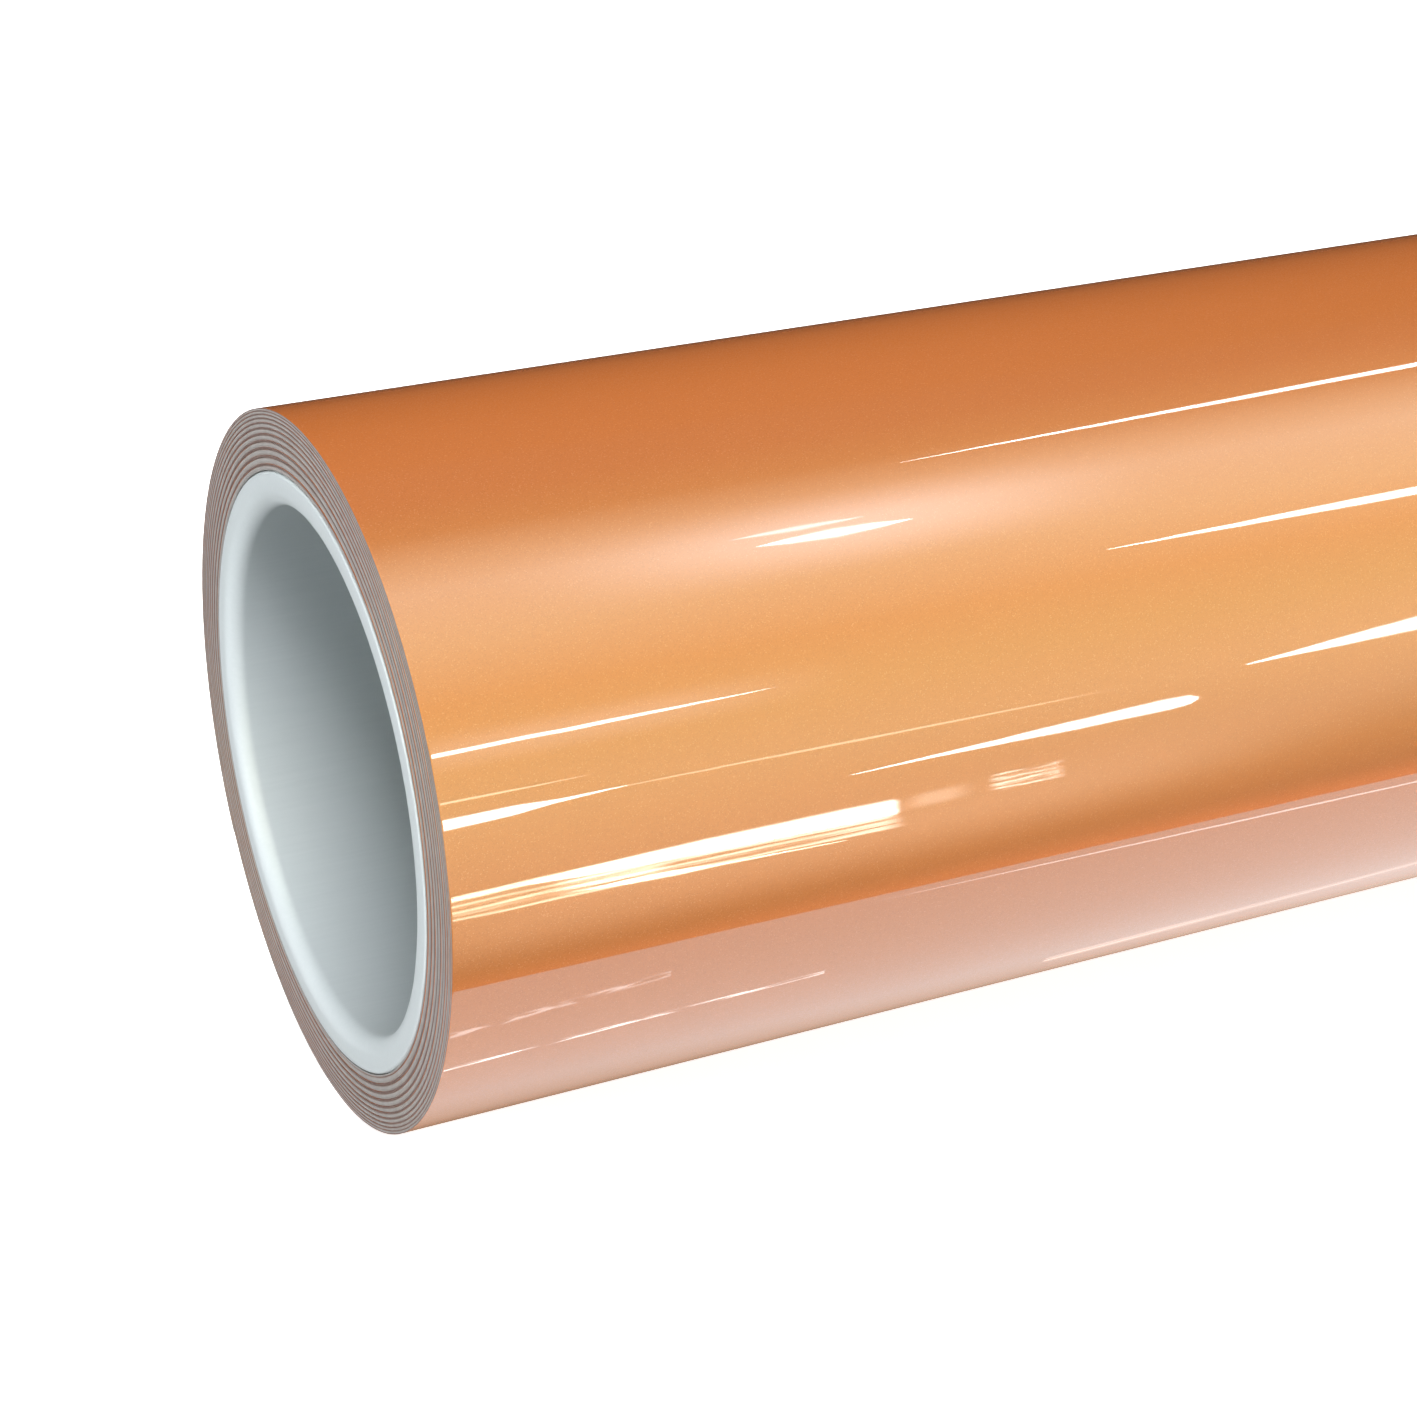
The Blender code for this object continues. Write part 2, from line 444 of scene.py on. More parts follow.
def sweepLayer(name, layer, start, end, step):
    # the layer as one closed sheet between two angles
    count = max(2, math.ceil((end - start) / step))
    shape = bmesh.new()
    rings = []
    for i in range(count + 1):
        angle = start + (end - start) * i / count
        section = layerSection(layer, angle)
        rings.append([shape.verts.new(rollPoint(x, angle, radius)) for x, radius in section])
    size = len(rings[0])
    steps = webShape["edgeSteps"]
    edgeFaces = (*range(1, 1 + steps), *range(4 + steps, 4 + 2 * steps))
    for ring, after in zip(rings, rings[1:]):
        for j in range(size):
            k = (j + 1) % size
            face = shape.faces.new((ring[j], ring[k], after[k], after[j]))
            face.material_index = 1 if j in edgeFaces and layer == "foil" else 0
            face.smooth = True
    for ring in (rings[0], rings[-1]):
        cap = shape.faces.new(ring if ring is rings[-1] else ring[::-1])
        cap.material_index = 1 if layer == "foil" else 0
    bmesh.ops.recalc_face_normals(shape, faces=shape.faces)
    mesh = meshFrom(shape, name)
    mesh.set_sharp_from_angle(angle=math.radians(webShape["sharpAngle"]))
    return mesh


foilPieces = []


def webPiece(name, layer, start, end, step, body, *replaced):
    material = foilMaterial if layer == "foil" else linerMaterial
    slotName = "copper_foil" if layer == "foil" else "release_liner"
    mesh = sweepLayer(name, layer, start, end, step)
    piece = newPiece(name, mesh, material, body, slotName, *replaced)
    if layer == "foil":
        piece.data.materials.append(foilEdgeMaterial)
        foilPieces.append(piece)
    return piece


def buildWoundWeb():
    # the laps below, which only show at the roll's ends, and the outer lap up to the free end
    step = webShape["stepAngle"]
    first = startAngle + webShape["firstAngle"]
    split = tailRoot - panelAngle / 2
    lastLap = split - 360
    for layer in ("foil", "liner"):
        webPiece(f"{layer}InnerLaps", layer, first, lastLap, 2 * step, "roll", f"{layer}_winding")
        webPiece(f"{layer}OuterLap", layer, lastLap, split, step, "roll")


def buildFreeEnd():
    # strips that cross each hinge line, and a last half panel that carries the cut edge
    step = webShape["freeEndStep"]
    for layer in ("foil", "liner"):
        for i in range(panelCount):
            start = tailRoot + (i - 0.5) * panelAngle
            end = start + panelAngle
            piece = webPiece(f"{layer}FreeEnd{i + 1}", layer, start, end, step, None,
                             f"{layer}_tail_{i + 1}")
            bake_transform(piece)
        cutStart = tailTip - panelAngle / 2
        webPiece(f"{layer}CutEnd", layer, cutStart, tailTip, step, f"tail_{panelCount}")


buildWoundWeb()
buildFreeEnd()
print("web made")


tapeShape = {
    "startTapeWidth": 19 * mm,
    "startTapeThickness": 0.08 * mm,
    "startTapeInset": 6 * mm,       # how far it stops short of the core's ends
    "startTapeGap": 0.01 * mm,
    "startTapeSteps": 24,
    "tabLength": 38 * mm,
    "tabThickness": 0.09 * mm,
    "tabGap": 0.03 * mm,
    "tabHoldAngle": 8,              # degrees of the tab on the free end
    "tabReachAngle": 10,            # and past its cut edge, on the lap below
    "tabFallAngle": 1.6,            # degrees in which it steps down to that lap
    "tabSteps": 72,
    "teeth": 19,
    "toothDepth": 0.9 * mm,
    "sharpAngle": 40,
}


def sheetMesh(name, rows):
    # closed thin sheet from rows of (outer point, inner point) pairs
    shape = bmesh.new()
    outer = [[shape.verts.new(pair[0]) for pair in row] for row in rows]
    inner = [[shape.verts.new(pair[1]) for pair in row] for row in rows]
    lastRow, lastCol = len(rows) - 1, len(rows[0]) - 1
    for i in range(lastRow):
        for j in range(lastCol):
            shape.faces.new((outer[i][j], outer[i + 1][j], outer[i + 1][j + 1], outer[i][j + 1]))
            shape.faces.new((inner[i][j], inner[i][j + 1], inner[i + 1][j + 1], inner[i + 1][j]))
    for i in range(lastRow):
        for j in (0, lastCol):
            shape.faces.new((outer[i][j], inner[i][j], inner[i + 1][j], outer[i + 1][j]))
    for j in range(lastCol):
        for i in (0, lastRow):
            shape.faces.new((outer[i][j], outer[i][j + 1], inner[i][j + 1], inner[i][j]))
    bmesh.ops.recalc_face_normals(shape, faces=shape.faces)
    for face in shape.faces:
        face.smooth = True
    mesh = meshFrom(shape, name)
    mesh.set_sharp_from_angle(angle=math.radians(tapeShape["sharpAngle"]))
    return mesh


def buildStartTape():
    # holds the start of the web to the core
    shape = tapeShape
    arc = math.degrees(shape["startTapeWidth"] / coreOuter)
    low = coreOuter + shape["startTapeGap"]
    high = low + shape["startTapeThickness"]
    ends = (leftEnd + shape["startTapeInset"], -leftEnd - shape["startTapeInset"])
    rows = []
    for i in range(shape["startTapeSteps"] + 1):
        angle = startAngle + arc * i / shape["startTapeSteps"]
        rows.append([(rollPoint(x, angle, high), rollPoint(x, angle, low)) for x in ends])
    newPiece("startTape", sheetMesh("startTape", rows), tapeMaterial, "roll", "double_sided_tape",
             "core_start_tape")


def buildClosureTab():
    # paper tape that runs over the cut edge and down onto the lap below
    shape = tapeShape
    start = tailTip - shape["tabHoldAngle"]
    end = tailTip + shape["tabReachAngle"]
    steps = shape["tabSteps"]
    columns = shape["teeth"] * 2
    rows = []
    for i in range(steps + 1):
        angle = start + (end - start) * i / steps
        onWeb = layerRadii("foil", min(angle, tailTip))[1]
        below = layerRadii("foil", angle - 360)[1]
        fall = eased(min(1.0, max(0.0, (angle - tailTip) / shape["tabFallAngle"])))
        low = onWeb * (1 - fall) + below * fall + shape["tabGap"]
        high = low + shape["tabThickness"]
        row = []
        for j in range(columns + 1):
            x = shape["tabLength"] * (j / columns - 0.5)
            # pinked ends, as a serrated cutter leaves them
            tooth = shape["toothDepth"] * (1 if j % 2 else 0)
            reach = math.degrees(tooth / low) * (1 if i > steps / 2 else -1)
            share = abs(2 * i / steps - 1) ** 6     # only the rows near each end shape the teeth
            turned = angle - reach * share
            row.append((rollPoint(x, turned, high), rollPoint(x, turned, low)))
        rows.append(row)
    newPiece("closureTab", sheetMesh("closureTab", rows), paperMaterial, f"tail_{panelCount}",
             "paper_tape", "closure_tab")


buildStartTape()
buildClosureTab()
print("tapes made")


floorLook = {
    "pale": "#F4F4F4",
    "bounce": "#9A9A9A",    # painted shade: the floor throws back a mid grey, darker than the pale it shows, so that less light bounces onto the roll
    "glow": 0.86,           # an evenly lit white sweep, brighter to the eye than what it throws back
    "reach": 6.0,           # metres from its middle to each side
}


def buildFloor():
    # White background paper, rolled out flat: the eye sees a pale, even white without a shine
    look = floorLook
    material, tree = newMaterial("matWhiteSweep")
    path = addNode(tree, "ShaderNodeLightPath")
    # painted shade: rays other than the camera's see the darker bounce grey
    colour = addNode(tree, "ShaderNodeMix",
                     {"data_type": "RGBA", 6: linear(look["bounce"]), 7: linear(look["pale"])},
                     {"Factor": path.outputs["Is Camera Ray"]})
    base = addNode(tree, "ShaderNodeBsdfDiffuse", links={"Color": colour.outputs[2]})
    glow = addNode(tree, "ShaderNodeMath", {"operation": "MULTIPLY", 1: look["glow"]},
                   {0: path.outputs["Is Camera Ray"]})
    light = addNode(tree, "ShaderNodeEmission", {"Color": (1, 1, 1, 1)},
                    {"Strength": glow.outputs[0]})
    both = addNode(tree, "ShaderNodeAddShader", links={0: base.outputs[0], 1: light.outputs[0]})
    finishMaterial(tree, both)
    shape = bmesh.new()
    bmesh.ops.create_grid(shape, x_segments=2, y_segments=2, size=look["reach"])
    floor = bpy.data.objects.new("floor", meshFrom(shape, "floor"))
    floor.data.materials.append(material)
    bpy.context.scene.collection.objects.link(floor)
    floor.visible_glossy = False    # the lacquer mirrors the studio and the card, not the floor


buildFloor()
print("floor made")


# what a light may reach: the lacquered foil, the core, or everything but the core
foilOnly = bpy.data.collections.new("foilOnly")
for piece in foilPieces:
    foilOnly.objects.link(piece)
allButCore = bpy.data.collections.new("allButCore")
for piece in bpy.context.scene.collection.objects:
    if piece.type == "MESH" and piece.name not in coreOnly.objects:
        allButCore.objects.link(piece)


def onlyMirrored(thing):
    thing.visible_camera = False
    thing.visible_diffuse = False
    thing.visible_shadow = False


cardLook = {
    "leftEdge": Vector((-0.137, -0.0850, 0)),   # two points of its front edge, in metres
    "rightEdge": Vector((0.037, -0.0800, 0)),
    "halfLength": 1.6,
    "depth": 0.075,
    "lift": 0.4 * mm,
    # how bright it is, from its front edge (0) to its back edge (1) by the roll, where it dims as
    # painted shade
    "glow": ((0.0, 1.85), (0.45, 1.6), (0.62, 1.4), (0.76, 0.9), (0.9, 0.3), (1.0, 0.1)),
    "copperTint": "#FFC89A",    # painted bounce light: near the roll the card glows the colour the copper would throw on it
    "tintFrom": 0.66,
    "tintTo": 0.9,
}


def buildBounceCard():
    # White bounce card under the roll's front, drawn as a glowing card: the eye sees only its image,
    # the pale band low on the lacquer. Its glow is painted light: dimmer towards the roll as painted
    # shade, copper tinted there as painted bounce light
    look = cardLook
    along = (look["rightEdge"] - look["leftEdge"]).normalized()
    inward = Vector((-along.y, along.x, 0))
    middle = (look["leftEdge"] + look["rightEdge"]) / 2
    corners = ((-1, 0), (1, 0), (1, 1), (-1, 1))
    shape = bmesh.new()
    layer = shape.loops.layers.uv.new("across")
    points = [shape.verts.new(middle + along * a * look["halfLength"] + inward * b * look["depth"])
              for a, b in corners]
    face = shape.faces.new(points)
    for loop, corner in zip(face.loops, corners):
        loop[layer].uv = corner
    material, tree = newMaterial("bounceCard")
    place = addNode(tree, "ShaderNodeUVMap", {"uv_map": "across"})
    split = addNode(tree, "ShaderNodeSeparateXYZ", links={0: place.outputs[0]})
    # painted shade: the glow falls towards the back edge, by the roll
    ramp = addNode(tree, "ShaderNodeFloatCurve", links={"Value": split.outputs[1]})
    curve = ramp.mapping.curves[0]
    top = max(value for _, value in look["glow"])
    steps = [(where, value / top) for where, value in look["glow"]]
    curve.points[0].location = steps[0]
    curve.points[1].location = steps[-1]
    for step in steps[1:-1]:
        curve.points.new(*step)
    ramp.mapping.update()
    strength = addNode(tree, "ShaderNodeMath", {"operation": "MULTIPLY", 1: top},
                       {0: ramp.outputs[0]})
    # painted bounce light: near the roll the glow turns the copper's colour
    tint = addNode(tree, "ShaderNodeValToRGB", links={"Fac": split.outputs[1]})
    tint.color_ramp.elements[0].position = look["tintFrom"]
    tint.color_ramp.elements[0].color = (1, 1, 1, 1)
    tint.color_ramp.elements[1].position = look["tintTo"]
    tint.color_ramp.elements[1].color = linear(look["copperTint"])
    light = addNode(tree, "ShaderNodeEmission",
                    links={"Color": tint.outputs[0], "Strength": strength.outputs[0]})
    finishMaterial(tree, light)
    card = bpy.data.objects.new("bounceSheet", meshFrom(shape, "bounceSheet"))
    card.data.materials.append(material)
    card.location.z = look["lift"]
    onlyMirrored(card)
    bpy.context.scene.collection.objects.link(card)


buildBounceCard()
print("bounce card made")


cameraLook = {
    "azimuth": -25.9,       # degrees, from the front towards the roll's left end
    "elevation": 24.7,
    "lens": 78.25,          # millimetres, on a sensor as wide as the next line says
    "sensor": 36.0,
    # where the near end's centre sits from the camera, in roll radii: right, down, forward
    "endRight": -1.074,
    "endDown": 0.180,
    "endForward": 8.39,
}


def buildCamera():
    look = cameraLook
    turn, rise = math.radians(look["azimuth"]), math.radians(look["elevation"])
    right = Vector((math.cos(turn), math.sin(turn), 0))
    flat = math.cos(rise)
    forward = Vector((-math.sin(turn) * flat, math.cos(turn) * flat, -math.sin(rise)))
    up = right.cross(forward)
    endCentre = Vector((leftEnd, 0, axisHeight))
    offset = look["endRight"] * right - look["endDown"] * up + look["endForward"] * forward
    data = bpy.data.cameras.new("camera")
    data.lens = look["lens"]
    data.sensor_width = look["sensor"]
    data.clip_start = 0.01
    camera = bpy.data.objects.new("camera", data)
    bpy.context.scene.collection.objects.link(camera)
    camera.location = endCentre - offset * rollRadius
    camera.rotation_mode = "QUATERNION"
    camera.rotation_quaternion = forward.to_track_quat("-Z", "Y")
    bpy.context.scene.camera = camera
    return camera


camera = buildCamera()
print("camera set")


def mirrored(along, angle, distance):
    # the place in the studio that the camera sees mirrored in the roll at that angle, along
    # metres from its near end
    eye = camera.location
    spot = rollPoint(leftEnd + along, angle, rollRadius)
    away = math.hypot(eye.y - spot.y, eye.z - spot.z)
    eyeAngle = math.degrees(math.atan2(eye.z - spot.z, spot.y - eye.y))
    gone = math.radians(2 * angle - eyeAngle)
    return Vector((spot.x + (spot.x - eye.x) * distance / away,
                   spot.y - distance * math.cos(gone), spot.z + distance * math.sin(gone)))


def shareAt(profile, u):
    # value of a profile of (place, value) pairs at u
    for (a, low), (b, high) in zip(profile, profile[1:]):
        if u <= b:
            return low + (high - low) * (u - a) / (b - a)
    return profile[-1][1]


blindsLook = {
    "gapFrom": 0.46,    # below this value of the noise the light is cut off
    "gapTo": 0.58,      # and above this one it passes whole
}


def stripMaterial(name, streaks):
    # Strip light behind frosted plastic: even in its core and soft to its edges. With streaks, a
    # window behind blinds: a soft noise, that many lengths along the strip and across it, cuts
    # the light into broken lines.
    material, tree = newMaterial(name)
    place = addNode(tree, "ShaderNodeUVMap", {"uv_map": "strip"})
    split = addNode(tree, "ShaderNodeSeparateXYZ", links={0: place.outputs[0]})
    across = addNode(tree, "ShaderNodeMath", {"operation": "ABSOLUTE"}, {0: split.outputs[1]})
    core = addNode(tree, "ShaderNodeAttribute", {"attribute_type": "OBJECT",
                                                 "attribute_name": "core"})
    edge = addNode(tree, "ShaderNodeMapRange",
                   {"interpolation_type": "SMOOTHSTEP", "From Max": 1.0, "To Min": 1.0, "To Max": 0.0},
                   {"Value": across.outputs[0], "From Min": core.outputs["Fac"]})
    glow = addNode(tree, "ShaderNodeAttribute", {"attribute_type": "OBJECT",
                                                 "attribute_name": "glow"})
    strength = addNode(tree, "ShaderNodeMath", {"operation": "MULTIPLY"},
                       {0: edge.outputs[0], 1: glow.outputs["Fac"]})
    fade = addNode(tree, "ShaderNodeAttribute", {"attribute_type": "OBJECT",
                                                 "attribute_name": "fade"})
    nearEnd = addNode(tree, "ShaderNodeMath", {"operation": "PINGPONG", 1: 0.5},
                      {0: split.outputs[0]})
    fading = addNode(tree, "ShaderNodeMapRange",
                     {"interpolation_type": "SMOOTHSTEP", "From Min": -0.0001},    # a fade may be 0
                     {"Value": nearEnd.outputs[0], "From Max": fade.outputs["Fac"]})
    strength = addNode(tree, "ShaderNodeMath", {"operation": "MULTIPLY"},
                       {0: strength.outputs[0], 1: fading.outputs[0]})
    if streaks:
        stretched = addNode(tree, "ShaderNodeMapping", {"Scale": streaks},
                            {"Vector": place.outputs[0]})
        noise = addNode(tree, "ShaderNodeTexNoise", {"Scale": 1.0, "Detail": 3.0},
                        {"Vector": stretched.outputs[0]})
        cut = addNode(tree, "ShaderNodeMapRange",
                      {"From Min": blindsLook["gapFrom"], "From Max": blindsLook["gapTo"]},
                      {"Value": noise.outputs[0]})
        strength = addNode(tree, "ShaderNodeMath", {"operation": "MULTIPLY"},
                           {0: strength.outputs[0], 1: cut.outputs[0]})
    tint = addNode(tree, "ShaderNodeObjectInfo")
    light = addNode(tree, "ShaderNodeEmission",
                    links={"Color": tint.outputs["Color"], "Strength": strength.outputs[0]})
    clear = addNode(tree, "ShaderNodeBsdfTransparent")
    finishMaterial(tree, addNode(tree, "ShaderNodeAddShader",
                                 links={0: light.outputs[0], 1: clear.outputs[0]}))
    return material


stripKinds = {
    "plain": stripMaterial("stripLight", None),
    "blinds": stripMaterial("blindLight", (1.3, 3.4, 1.0)),
    "ripple": stripMaterial("rippleLight", (7.0, 1.0, 1.0)),
}


def glint(name, where, band, glow, tint, kind="plain", fade=0.0, distance=0.9):
    # a strip in the studio whose mirror image runs along the roll
    (start, startTurn), (end, endTurn) = where
    height, core, profile = band
    steps = 32
    shape = bmesh.new()
    layer = shape.loops.layers.uv.new("strip")
    rows = []
    for i in range(steps + 1):
        u = i / steps
        along = (start + (end - start) * u) * rollRadius
        angle = startTurn + (endTurn - startTurn) * u
        half = shareAt(profile, u) * height / 2
        places = [mirrored(along, angle + half * v, distance) for v in (-1, 0, 1)]
        rows.append([shape.verts.new(place) for place in places])
    for i in range(steps):
        for j in range(2):
            corners = ((i, j), (i + 1, j), (i + 1, j + 1), (i, j + 1))
            face = shape.faces.new([rows[a][b] for a, b in corners])
            for loop, (a, b) in zip(face.loops, corners):
                loop[layer].uv = (a / steps, b - 1)
    strip = bpy.data.objects.new(name, meshFrom(shape, name))
    strip.data.materials.append(stripKinds[kind])
    strip["glow"] = float(glow)
    strip["core"] = float(core)
    strip["fade"] = float(fade)
    strip.color = linear(tint)
    onlyMirrored(strip)
    strip.light_linking.receiver_collection = foilOnly
    bpy.context.scene.collection.objects.link(strip)


# how high a strip is from its start (0) to its end (1), as a share of its full height
toLeft = ((0, 0.03), (0.3, 0.3), (0.6, 0.75), (0.9, 1.0), (0.97, 0.8), (1, 0.3))
toRight = ((0, 1.0), (0.62, 0.85), (0.82, 0.45), (1, 0.03))
bothWays = ((0, 0.03), (0.2, 0.6), (0.5, 1.0), (0.8, 0.6), (1, 0.03))
openRight = ((0, 0.03), (0.15, 0.3), (0.35, 0.6), (1, 1.0))
blunt = ((0, 0.4), (0.06, 1.0), (0.94, 1.0), (1, 0.4))
level = ((0, 1.0), (1, 1.0))
early = ((0, 0.03), (0.15, 0.8), (0.35, 1.0), (0.5, 0.4), (1, 0.1))
toPoint = ((0, 1.0), (0.66, 0.7), (0.8, 0.25), (1, 0.03))
zone = ((0, 0.15), (0.15, 0.5), (0.45, 0.85), (0.8, 1.0), (0.97, 1.0), (1, 0.7))

# each strip: its name; its start and end, as (roll radii from the near end, degrees round the
# roll); its height in degrees, the share of that which is evenly bright, and its profile; how
# bright it is; its tint; then, where they differ from a plain strip, the kind, the share of its
# length in which each end fades, and how many metres it is from the roll
glints = (
    ("glintUpper", ((-0.3, 26.0), (0.95, 26.0)), (0.75, 0.5, toRight), 16, "#FFFFFF"),
    ("glintUpperGlow", ((-0.5, 26.0), (1.25, 26.0)), (7.0, 0.0, blunt), 1.1, "#F2F2FF", "plain", 0.4),
    ("glintFine", ((0.35, 16.5), (1.95, 15.3)), (0.5, 0.3, bothWays), 4.5, "#FFF3D4"),
    ("glintFineLeft", ((-0.3, 19.4), (0.42, 19.0)), (0.5, 0.3, toRight), 6, "#FFF3D4"),
    ("glintLeft", ((-0.4, 15.9), (0.5, 16.4)), (2.3, 0.6, toPoint), 18, "#FFFFFF"),
    ("glintMiddle", ((1.12, 10.9), (2.2, 11.2)), (2.2, 0.5, toLeft), 18, "#FFFFFF"),
    ("glintTop", ((1.5, 57.1), (4.6, 60.4)), (1.4, 0.4, openRight), 18, "#FFFFFF"),
    ("glintRight", ((2.0, 36.7), (4.4, 36.7)), (2.4, 0.5, openRight), 18, "#FFFFFF"),
    ("glintFarRight", ((2.36, 14.8), (4.4, 17.8)), (5.2, 0.5, openRight), 18, "#FFFFFF"),
    ("keyTubeLow", ((1.0, 47.2), (1.46, 47.2)), (2.0, 0.2, bothWays), 14, "#F6F7FF"),
    ("keyTubeHigh", ((0.94, 49.0), (1.32, 49.0)), (1.2, 0.1, bothWays), 6, "#F2F4FF"),
    ("keyHalo", ((0.2, 47.6), (2.3, 47.6)), (15.0, 0.0, level), 2.8, "#E6F2FF", "plain", 0.5),
    ("copperGlow", ((-1.0, -14.5), (4.6, -15.5)), (16.0, 0.4, level), 2.0, "#FF8650", "plain", 0, 0.2),
    ("lowSweep", ((-0.9, -2.0), (2.9, 2.5)), (15.0, 0.0, level), 1.1, "#FFF4DA", "plain", 0.33),
    ("blindsLeft", ((-0.3, 3.4), (0.5, 3.6)), (4.4, 0.6, level), 1.3, "#FFF0C0", "plain", 0.2),
    ("blindsLeftLines", ((-0.3, 3.3), (0.62, 3.6)), (4.4, 0.8, level), 7.5, "#FFF6DA", "blinds", 0.1),
    ("blindsLeftTop", ((-0.3, 5.0), (0.45, 5.5)), (1.0, 0.5, level), 13, "#FFF6DC", "plain", 0.3),
    ("blindsMiddle", ((0.2, 5.2), (1.28, 4.3)), (3.2, 0.6, zone), 16, "#FFFBF0", "plain", 0.03),
    ("blindsMiddleLow", ((0.26, 3.4), (1.3, 2.4)), (3.4, 0.8, level), 9, "#FFF8E4", "blinds", 0.1),
    ("blindsMiddleGold", ((0.2, 2.6), (1.3, 2.2)), (3.6, 0.3, level), 0.8, "#FFEFC0", "plain", 0.3),
    ("blindsRightFade", ((1.26, 4.5), (1.5, 4.6)), (3.0, 0.3, level), 2.2, "#FFF6E4", "plain", 0.4),
    ("blindsLine", ((0.36, 2.2), (1.1, 0.7)), (1.1, 0.5, early), 16, "#FFF8E0"),
    ("blindsPatch", ((1.55, 4.6), (1.76, 4.6)), (3.2, 0.6, level), 1.6, "#FFF8E8", "plain", 0.1),
    ("blindsPatchLines", ((1.52, 4.6), (1.78, 4.6)), (3.2, 0.8, level), 9, "#FFF8E8", "blinds", 0.2),
    ("cardEdge", ((1.2, -11.6), (3.9, -14.3)), (0.5, 0.3, bothWays), 4, "#FFFFFF", "plain", 0, 0.04),
    ("rippleLeft", ((-0.1, -26.8), (1.1, -25.2)), (1.0, 0.2, level), 7, "#FFFFFF", "ripple", 0, 0.02),
    ("rippleUpper", ((-0.1, -19.0), (0.62, -16.5)), (1.6, 0.2, level), 3, "#FFFFFF", "ripple", 0, 0.03),
    ("rippleRight", ((1.9, -42.0), (3.9, -38.0)), (4.0, 0.1, level), 1.5, "#FFF0E4", "blinds", 0, 0.01),
)
for settings in glints:
    glint(*settings)


def softBox(name, place, size, radiance, target, only, tint="#FFFFFF"):
    # area light whose first side lies along X; radiance is how bright its face is, 1 being white
    data = bpy.data.lights.new(name, "AREA")
    data.shape = "RECTANGLE"
    data.size, data.size_y = size
    data.energy = radiance * math.pi * (size[0] * size[1])
    data.color = linear(tint)[:3]
    lamp = bpy.data.objects.new(name, data)
    bpy.context.scene.collection.objects.link(lamp)
    aim = (target - Vector(place)).normalized()
    across = (Vector((1, 0, 0)) - aim * aim.x).normalized()
    turned = Matrix((across, (-aim).cross(across), -aim)).transposed().to_4x4()
    lamp.matrix_world = Matrix.Translation(place) @ turned
    lamp.visible_camera = False
    lamp.visible_glossy = False     # what the lacquer mirrors comes from the strips and the studio
    if only:
        lamp.light_linking.receiver_collection = only


def buildLights():
    # even light for the foil, a key for each end of the bore, and a fill for each end
    middle = Vector((0, 0, axisHeight))
    near = Vector((leftEnd, 0, axisHeight))
    far = Vector((-leftEnd, 0, axisHeight))
    softBox("topFill", (0, 0.6, 1.14), (1.8, 0.8), 5.8, middle, allButCore)
    softBox("frontFill", (0, -1.15, 0.15), (1.8, 0.25), 7.1, middle, allButCore, "#E2FFFF")
    softBox("backFill", (0, 1.2, 0.35), (1.8, 0.6), 1.6, middle, allButCore)
    softBox("boreKey", (-0.30, -0.85, 0.95), (0.45, 0.45), 26, near, coreOnly)
    softBox("farBoreKey", (0.30, 0.85, 0.95), (0.45, 0.45), 26, far, coreOnly)
    softBox("endFill", (-1.7, -0.04, 0.08), (0.5, 0.5), 32, near, None)
    softBox("farEndFill", (1.7, 0, 0.08), (0.5, 0.5), 28, far, None)
    softBox("rimFill", (-1.7, -0.04, 0.12), (0.5, 0.5), 7.5, near, coreOnly)
    softBox("farRimFill", (1.7, 0.04, 0.12), (0.5, 0.5), 7.5, far, coreOnly)


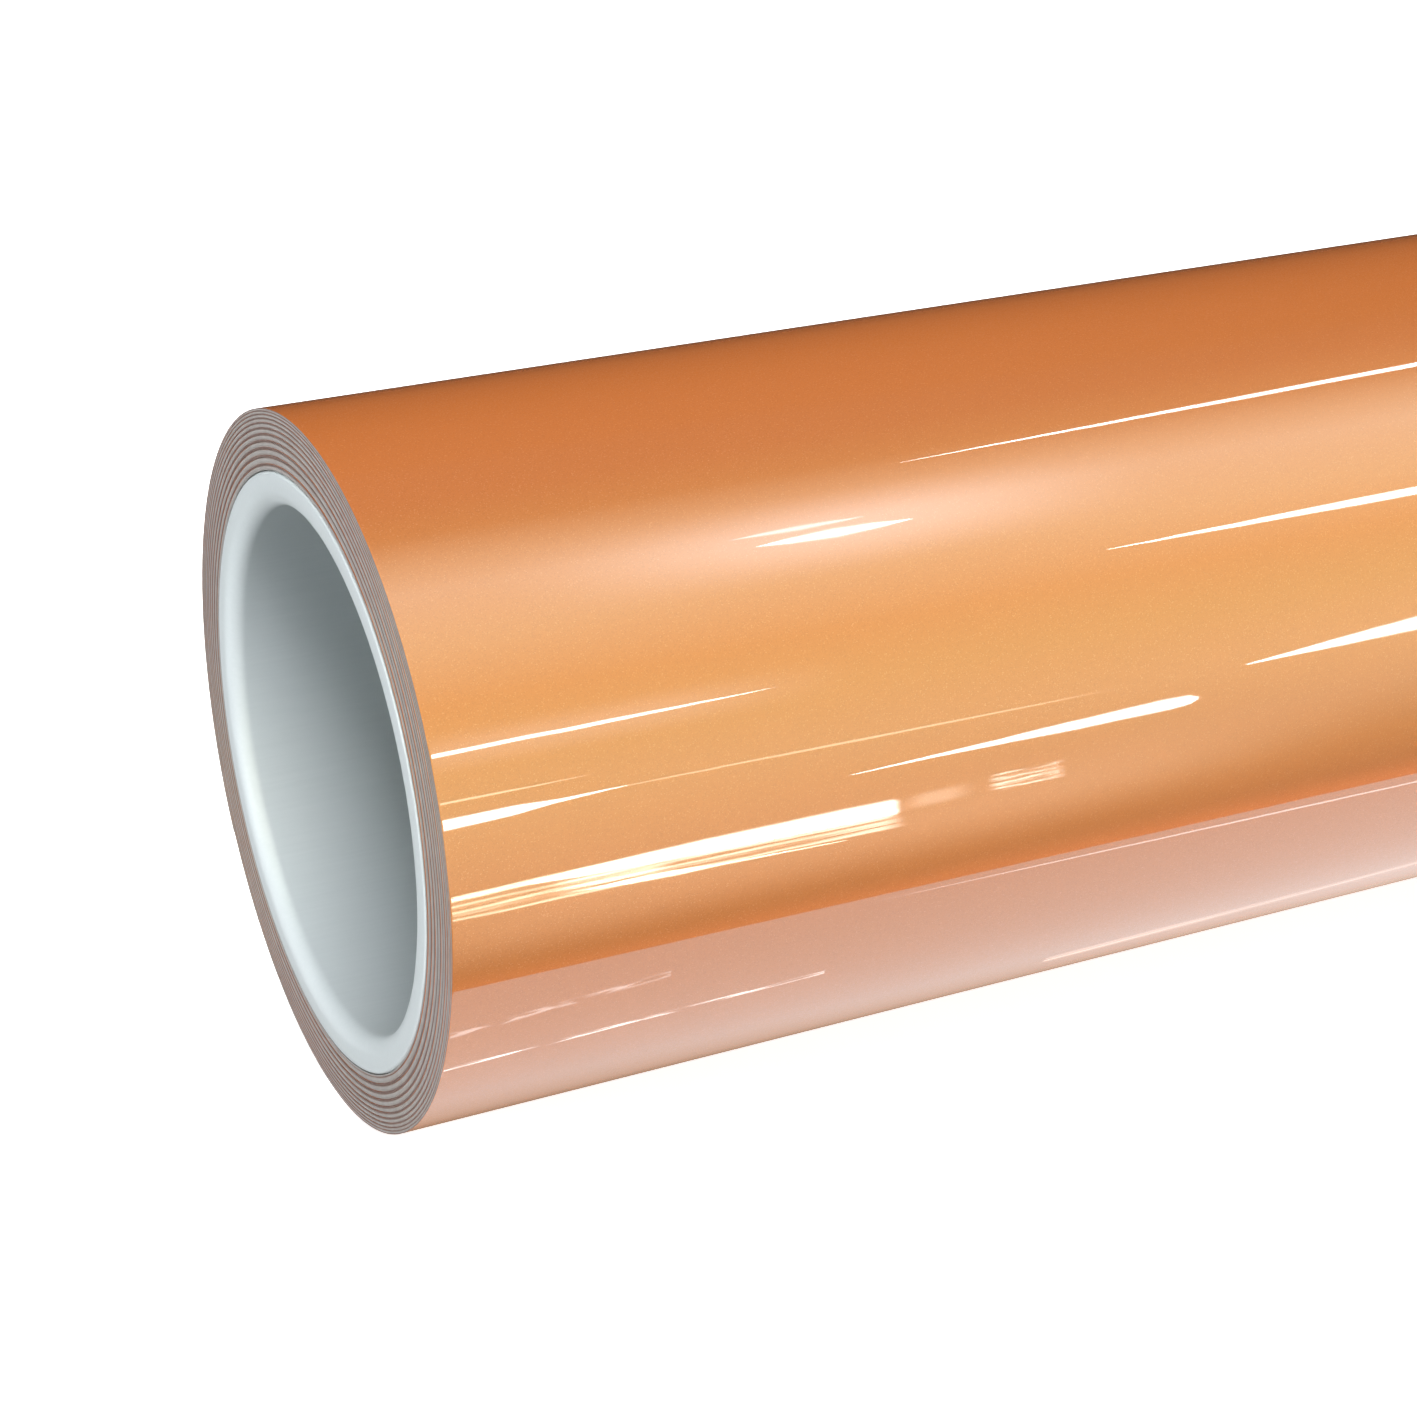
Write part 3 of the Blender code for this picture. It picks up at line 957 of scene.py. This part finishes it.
worldLook = {
    "backdrop": 0.88,   # the pale sweep as the eye sees it above the floor
    # how bright the studio is round the roll: angle from the front over the top, radiance, tint
    "round": ((-180, 0.03, "#FFFFFF"), (-68, 0.1, "#FFD8C2"), (-53, 0.35, "#FFD8C2"),
              (-33, 1.15, "#FFE6B0"), (-15, 1.95, "#FFFBD0"), (4, 2.3, "#FFFFC8"),
              (23, 2.4, "#FFFBB8"), (39, 2.5, "#FFE6A8"), (57, 2.75, "#FAFFD5"),
              (75, 2.9, "#F4FFE6"), (84, 1.9, "#F4FFE0"), (95, 0.5, "#F0FFD4"),
              (108, 0.15, "#FFFFFF"), (125, 0.05, "#FFFFFF"), (180, 0.03, "#FFFFFF")),
}


def buildWorld():
    # studio walls and ceiling, which only the lacquer mirrors
    look = worldLook
    world = bpy.data.worlds.new("studio")
    bpy.context.scene.world = world
    world.use_nodes = True
    tree = world.node_tree
    tree.nodes.clear()
    place = addNode(tree, "ShaderNodeTexCoord")
    split = addNode(tree, "ShaderNodeSeparateXYZ", links={0: place.outputs["Generated"]})
    front = addNode(tree, "ShaderNodeMath", {"operation": "MULTIPLY", 1: -1.0},
                    {0: split.outputs[1]})
    angle = addNode(tree, "ShaderNodeMath", {"operation": "ARCTAN2"},
                    {0: split.outputs[2], 1: front.outputs[0]})
    share = addNode(tree, "ShaderNodeMapRange",
                    {"From Min": -math.pi, "From Max": math.pi, "To Min": 0.0, "To Max": 1.0},
                    {"Value": angle.outputs[0]})
    ramp = addNode(tree, "ShaderNodeValToRGB", links={"Fac": share.outputs[0]})
    stops = ramp.color_ramp.elements
    tones = [((turn + 180) / 360, (*[radiance * part for part in linear(tint)[:3]], 1))
             for turn, radiance, tint in look["round"]]
    stops[0].position, stops[0].color = tones[0]
    stops[1].position, stops[1].color = tones[-1]
    for where, tone in tones[1:-1]:
        stops.new(where).color = tone
    path = addNode(tree, "ShaderNodeLightPath")
    seen = addNode(tree, "ShaderNodeMix", {"data_type": "RGBA", 7: (*[look["backdrop"]] * 3, 1)},
                   {"Factor": path.outputs["Is Camera Ray"], 6: ramp.outputs[0]})
    back = addNode(tree, "ShaderNodeBackground", links={"Color": seen.outputs[2]})
    world.cycles_visibility.diffuse = False     # the soft boxes give the even light
    addNode(tree, "ShaderNodeOutputWorld", links={"Surface": back.outputs[0]})


buildLights()
buildWorld()
bpy.context.scene.view_settings.view_transform = "Standard"
print("strips, lights and studio made")
